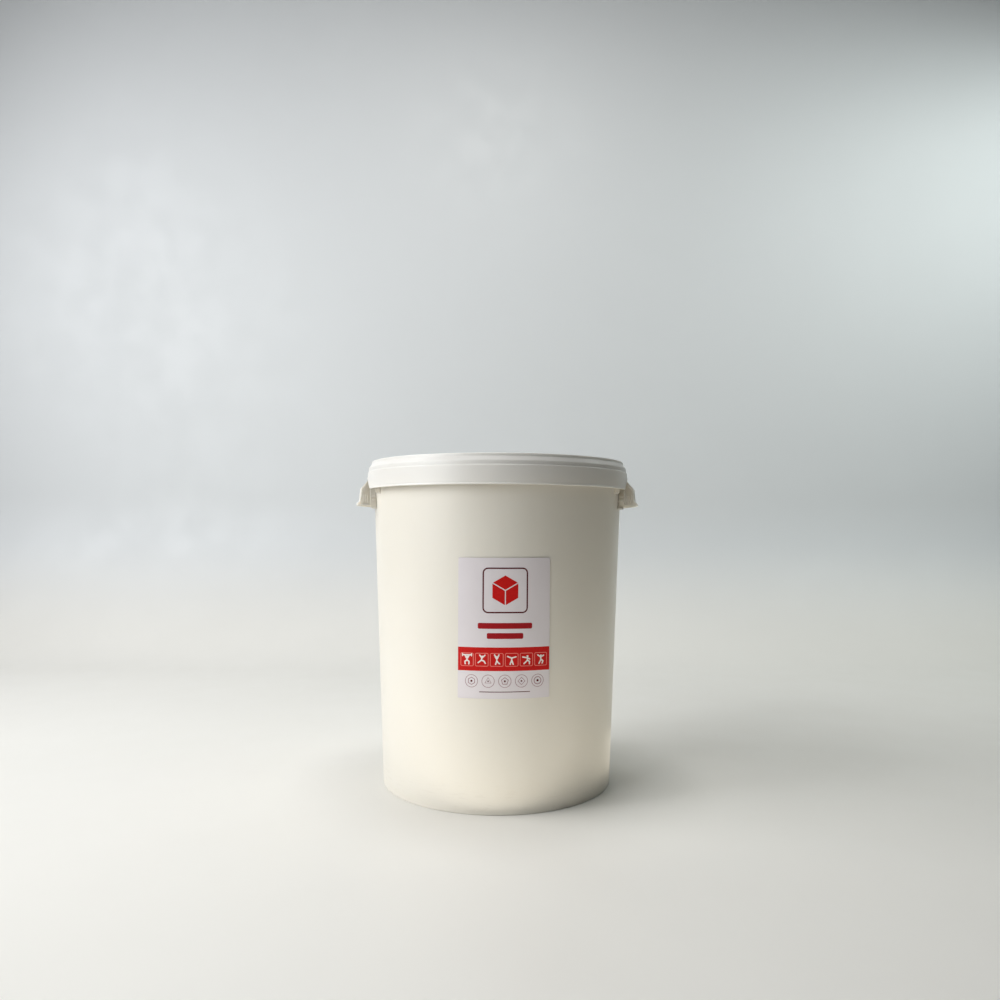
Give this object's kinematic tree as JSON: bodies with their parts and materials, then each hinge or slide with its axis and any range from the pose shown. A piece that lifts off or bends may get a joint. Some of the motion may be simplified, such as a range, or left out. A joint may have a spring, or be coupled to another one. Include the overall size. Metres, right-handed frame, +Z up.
{
  "type": "tub of broken gymnastics chalk",
  "caption": "Round tapered plastic tub with a press-on lid, moulded hand grips and a front label, filled with broken gymnastics chalk.",
  "frame": {"origin": "centre of the foot ring, on the surface that the tub stands on", "axes": "+Z up along the tub's axis; the label faces -Y; the hand grips are at +X (right) and -X (left)"},
  "size_m": [0.3574, 0.3316, 0.3968],
  "materials": {
    "tub_plastic": "smooth moulded polypropylene, warm white, slightly translucent",
    "lid_plastic": "smooth moulded polypropylene, white",
    "label_paper": "coated white label paper, printed in red",
    "chalk": "dry, dusty, matt white magnesium carbonate"
  },
  "bodies": {
    "tub": {"tub": "tub_plastic", "hand_grip_left": "tub_plastic", "hand_grip_right": "tub_plastic", "label": "label_paper", "crushed_chalk": "chalk", "block_fragment_01": "chalk", "block_fragment_02": "chalk", "block_fragment_03": "chalk", "block_fragment_04": "chalk", "block_fragment_05": "chalk", "block_fragment_06": "chalk", "chalk_chunk_01": "chalk", "chalk_chunk_02": "chalk", "chalk_chunk_03": "chalk", "chalk_chunk_04": "chalk", "chalk_chunk_05": "chalk", "chalk_chunk_06": "chalk", "chalk_chunk_07": "chalk", "chalk_chunk_08": "chalk", "chalk_chunk_09": "chalk", "chalk_chunk_10": "chalk", "chalk_chunk_11": "chalk", "chalk_chunk_12": "chalk", "chalk_chunk_13": "chalk", "chalk_chunk_14": "chalk", "chalk_chunk_15": "chalk", "chalk_chunk_16": "chalk", "chalk_chunk_17": "chalk", "chalk_chunk_18": "chalk", "chalk_chunk_19": "chalk", "chalk_chunk_20": "chalk", "chalk_chunk_21": "chalk", "chalk_chunk_22": "chalk", "chalk_chunk_23": "chalk", "chalk_chunk_24": "chalk", "chalk_chunk_25": "chalk", "chalk_chunk_26": "chalk", "chalk_chunk_27": "chalk", "chalk_chunk_28": "chalk", "chalk_chunk_29": "chalk", "chalk_chunk_30": "chalk", "chalk_chunk_31": "chalk", "chalk_chunk_32": "chalk", "chalk_chunk_33": "chalk", "chalk_chunk_34": "chalk", "chalk_chunk_35": "chalk", "chalk_chunk_36": "chalk"},
    "lid": {"lid": "lid_plastic"}
  },
  "joints": [
    {"name": "lid_lift", "type": "slide", "parent": "tub", "child": "lid", "axis": [0, 0, 1], "range_m": [0, 0.25]}
  ]
}
